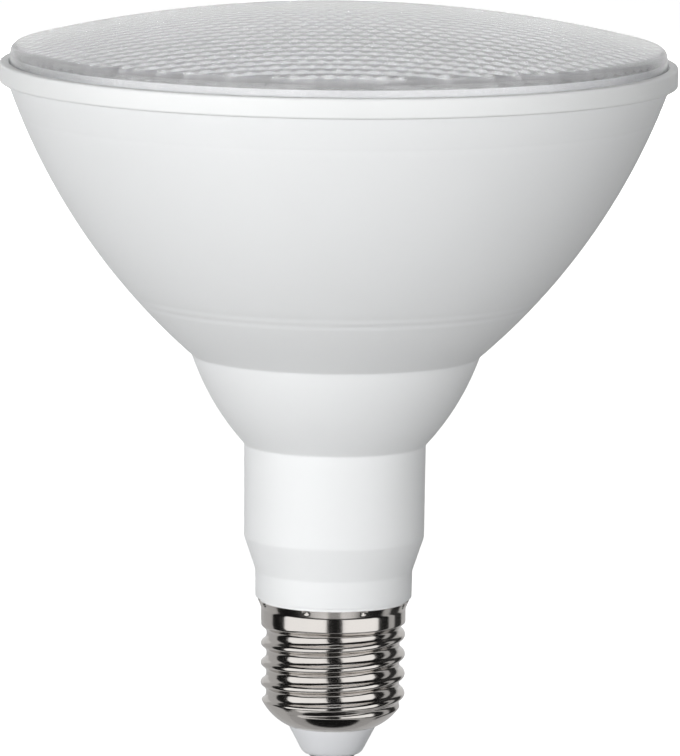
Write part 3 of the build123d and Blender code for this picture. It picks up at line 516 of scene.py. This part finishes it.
def make_screw_shell():
    """Thin rolled shell with its thread, shoulder and crimp dents."""
    rise = CAP_RIM_Z - MOUTH_Z
    rows = [(SHELL_COLLAR_RADIUS, MOUTH_Z + rise * row / SHELL_ROWS) for row in range(SHELL_ROWS + 1)]
    shape = turned(rows, SHELL_STEPS, closed=False)
    for vert in shape.verts:
        angle = atan2(vert.co.y, vert.co.x)
        radius = shell_radius(angle, vert.co.z / MM) * MM
        vert.co.x = radius * cos(angle)
        vert.co.y = radius * sin(angle)
    middle = min(shape.faces, key=lambda face: abs(face.calc_center_median().z - DENT_Z * MM))
    outward = middle.calc_center_median()
    outward.z = 0
    if middle.normal.dot(outward) < 0:
        bmesh.ops.reverse_faces(shape, faces=shape.faces)
    bmesh.ops.solidify(shape, geom=shape.faces[:], thickness=SHELL_WALL * MM)
    finished(shape, "screw_shell", "cap_shell", NICKEL, 60)


def make_insulating_end():
    """White end of the cap, with its plug inside the shell's shoulder."""
    fit_radius = SHOULDER_ARC_RADIUS - INSULATOR_FIT
    plug_z = SHOULDER_CENTRE[1] - sqrt(fit_radius ** 2 - (INSULATOR_PLUG_RADIUS - SHOULDER_CENTRE[0]) ** 2)
    inside = arc(SHOULDER_CENTRE, fit_radius, MOUTH_Z + INSULATOR_FIT - SHELL_WALL, plug_z, 8)
    points = outline((INSULATOR_BORE, CONTACT_HEIGHT),
                     (INSULATOR_TIP_RADIUS, CONTACT_HEIGHT, INSULATOR_TIP_ROUND),
                     (INSULATOR_EDGE_RADIUS, MOUTH_Z, 0.15), (inside[0][0], MOUTH_Z), *inside,
                     (INSULATOR_PLUG_RADIUS, INSULATOR_TOP), (INSULATOR_BORE, INSULATOR_TOP))
    finished(turned(points, 128), "insulating_end", "cap_insulator", INSULATOR_WHITE, 40)


def make_contact_button():
    """Contact at the tip, with its shank."""
    points = outline((0, 0), (CONTACT_FACE_RADIUS, 0, 0.3), (CONTACT_RADIUS, CONTACT_HEIGHT / 2, 0.2),
                     (CONTACT_RADIUS, CONTACT_HEIGHT, 0.15), (CONTACT_SHANK_RADIUS, CONTACT_HEIGHT),
                     (CONTACT_SHANK_RADIUS, CONTACT_SHANK_TOP), (0, CONTACT_SHANK_TOP))
    shape = turned(points, 96, closed=False)
    finished(shape, "contact_button", "centre_contact", CONTACT_METAL, 40)


def dress_inner_nodes():
    """Give every CAD node that stays its finish, by the record's material slot."""
    for row in frame["record"]["subparts"]:
        finish = INNER_FINISHES.get(row["material_slot"])
        if finish:
            materials = frame["nodes"][row["node"]].data.materials
            materials.clear()
            materials.append(finish)


make_outer_body()
make_retaining_ring()
make_lens_cover()
make_screw_shell()
make_insulating_end()
make_contact_button()
dress_inner_nodes()


# Stage, lights and camera

def seen_directly(nodes, links):
    """1 for camera, glossy and transmission rays, 0 for the rest."""
    rays = nodes.new("ShaderNodeLightPath")
    either = nodes.new("ShaderNodeMath")
    either.operation = "MAXIMUM"
    links.new(rays.outputs["Is Camera Ray"], either.inputs[0])
    links.new(rays.outputs["Is Glossy Ray"], either.inputs[1])
    any_of = nodes.new("ShaderNodeMath")
    any_of.operation = "MAXIMUM"
    links.new(either.outputs["Value"], any_of.inputs[0])
    links.new(rays.outputs["Is Transmission Ray"], any_of.inputs[1])
    return any_of.outputs["Value"]


def make_world():
    """White for rays that see it directly, and a soft grey fill for the rest."""
    world = bpy.data.worlds.new("studio")
    world.use_nodes = True
    bpy.context.scene.world = world
    nodes, links = world.node_tree.nodes, world.node_tree.links
    shown = seen_directly(nodes, links)
    level = nodes.new("ShaderNodeMix")
    level.data_type = "RGBA"
    level.inputs["A"].default_value = WORLD_FILL
    level.inputs["B"].default_value = (1.0, 1.0, 1.0, 1.0)
    links.new(shown, level.inputs["Factor"])
    links.new(level.outputs["Result"], nodes["Background"].inputs["Color"])


def stage_sheet(name, half_width, half_height):
    """Flat sheet for the stage."""
    shape = bmesh.new()
    bmesh.ops.create_grid(shape, x_segments=1, y_segments=1, size=1.0)
    bmesh.ops.scale(shape, verts=shape.verts, vec=(half_width, half_height, 1.0))
    mesh = bpy.data.meshes.new(name)
    shape.to_mesh(mesh)
    shape.free()
    sheet = bpy.data.objects.new(name, mesh)
    bpy.context.scene.collection.objects.link(sheet)
    return sheet


def make_floor():
    """White floor that keeps the lamp's shadow."""
    floor = stage_sheet("floor", 6.0, 6.0)
    material = bpy.data.materials.new("floor_white")
    material.use_nodes = True
    nodes, links = material.node_tree.nodes, material.node_tree.links
    shader = nodes["Principled BSDF"]
    shader.inputs["Base Color"].default_value = FLOOR_COLOUR
    shader.inputs["Roughness"].default_value = 0.9
    glow = nodes.new("ShaderNodeEmission")
    share = nodes.new("ShaderNodeMath")
    share.operation = "MULTIPLY"
    share.inputs[1].default_value = FLOOR_GLOW
    links.new(seen_directly(nodes, links), share.inputs[0])
    links.new(share.outputs["Value"], glow.inputs["Strength"])
    both = nodes.new("ShaderNodeAddShader")
    links.new(shader.outputs["BSDF"], both.inputs[0])
    links.new(glow.outputs["Emission"], both.inputs[1])
    links.new(both.outputs["Shader"], nodes["Material Output"].inputs["Surface"])
    floor.visible_glossy = False
    floor.data.materials.append(material)


def make_card(name, distance, azimuths, elevations, level):
    """Curved card round the cap that only glossy reflections show. Azimuth 0 is the camera's side."""
    shape = bmesh.new()
    spots = []
    for step in range(CARD_STEPS + 1):
        rise = radians(elevations[0] + (elevations[1] - elevations[0]) * step / CARD_STEPS)
        turn = radians(azimuths[0])
        reach = distance * cos(rise)
        height = distance * sin(rise) + CARD_MIDDLE_Z
        spots.append(shape.verts.new((reach * sin(turn), -reach * cos(turn), height)))
    lines = [shape.edges.new(pair) for pair in zip(spots, spots[1:])]
    bmesh.ops.spin(shape, geom=spots + lines, cent=(0, 0, 0), axis=(0, 0, 1), dvec=(0, 0, 0),
                   angle=radians(azimuths[1] - azimuths[0]), steps=CARD_STEPS, use_merge=False,
                   use_duplicate=False)
    mesh = bpy.data.meshes.new(name)
    shape.to_mesh(mesh)
    shape.free()
    card = bpy.data.objects.new(name, mesh)
    bpy.context.scene.collection.objects.link(card)
    material = bpy.data.materials.new(name)
    material.use_nodes = True
    nodes = material.node_tree.nodes
    shader = nodes["Principled BSDF"]
    shader.inputs["Base Color"].default_value = (0.0, 0.0, 0.0, 1.0)
    shader.inputs["Specular IOR Level"].default_value = 0.0
    shader.inputs["Emission Color"].default_value = (1.0, 1.0, 1.0, 1.0)
    shader.inputs["Emission Strength"].default_value = level
    mesh.materials.append(material)
    card.visible_camera = False
    card.visible_diffuse = False
    card.visible_shadow = False
    card.visible_transmission = False


def make_softbox(name, azimuth, elevation, size, power):
    """Area light that looks at the lamp; azimuth 0 is the camera's side, and positive is to its right."""
    data = bpy.data.lights.new(name, "AREA")
    data.shape = "RECTANGLE"
    data.size, data.size_y = size
    data.energy = power
    light = bpy.data.objects.new(name, data)
    light.visible_glossy = False
    bpy.context.scene.collection.objects.link(light)
    turn, rise = radians(azimuth), radians(elevation)
    target = Vector(LIGHT_AIM)
    outward = Vector((sin(turn) * cos(rise), -cos(turn) * cos(rise), sin(rise)))
    light.location = target + LIGHT_DISTANCE * outward
    light.rotation_euler = (light.location - target).to_track_quat("Z", "Y").to_euler()


def make_camera():
    """Camera at the photograph's viewpoint."""
    data = bpy.data.cameras.new("camera")
    data.lens = CAMERA_LENS
    data.sensor_width = 36.0
    data.clip_start = 0.05
    camera = bpy.data.objects.new("camera", data)
    bpy.context.scene.collection.objects.link(camera)
    rise = radians(CAMERA_ELEVATION)
    back = Vector((0, -cos(rise), sin(rise)))
    camera.location = (Vector(CAMERA_TARGET) + CAMERA_DISTANCE * back) * MM
    aim = Euler((pi / 2 - rise, 0, 0)).to_matrix() @ Euler((0, 0, radians(CAMERA_ROLL))).to_matrix()
    camera.rotation_euler = aim.to_euler()
    bpy.context.scene.camera = camera


make_world()
make_floor()
make_card("dark_front", 1.55, (-113, 100), (-50, 88), 0.012)
make_card("grey_back", 1.55, (100, 247), (-50, 36), 0.52)
make_card("pale_back", 1.5, (146, 214), (-7, 24), 0.7)
make_card("dark_top", 1.55, (100, 247), (36, 88), 0.012)
make_card("dark_back_right", 1.5, (115, 139), (-50, 60), 0.03)
make_card("bright_card_left", 1.45, (-84, -10), (-30, 34), 1.25)
make_card("bright_card_right", 1.45, (15, 77), (-30, 34), 1.25)
make_card("low_card_left", 1.4, (-84, -10), (-60, -50), 1.0)
make_card("low_card_right", 1.4, (15, 77), (-60, -50), 1.0)
make_card("grey_below", 1.5, (-180, 180), (-66, -50), 0.42)
make_card("dark_below", 1.5, (-180, 180), (-89.9, -66), 0.01)
for azimuth in LIGHT_AZIMUTHS:
    make_softbox(f"softbox_{azimuth}", azimuth, LIGHT_ELEVATION, LIGHT_SIZE, LIGHT_POWER)
for azimuth in BACK_LIGHT_AZIMUTHS:
    make_softbox(f"softbox_{azimuth}", azimuth, LIGHT_ELEVATION, BACK_LIGHT_SIZE, BACK_LIGHT_POWER)
make_softbox("softbox_top", 180, 80, TOP_LIGHT_SIZE, TOP_LIGHT_POWER)
make_camera()
bpy.context.scene.view_settings.view_transform = "Standard"
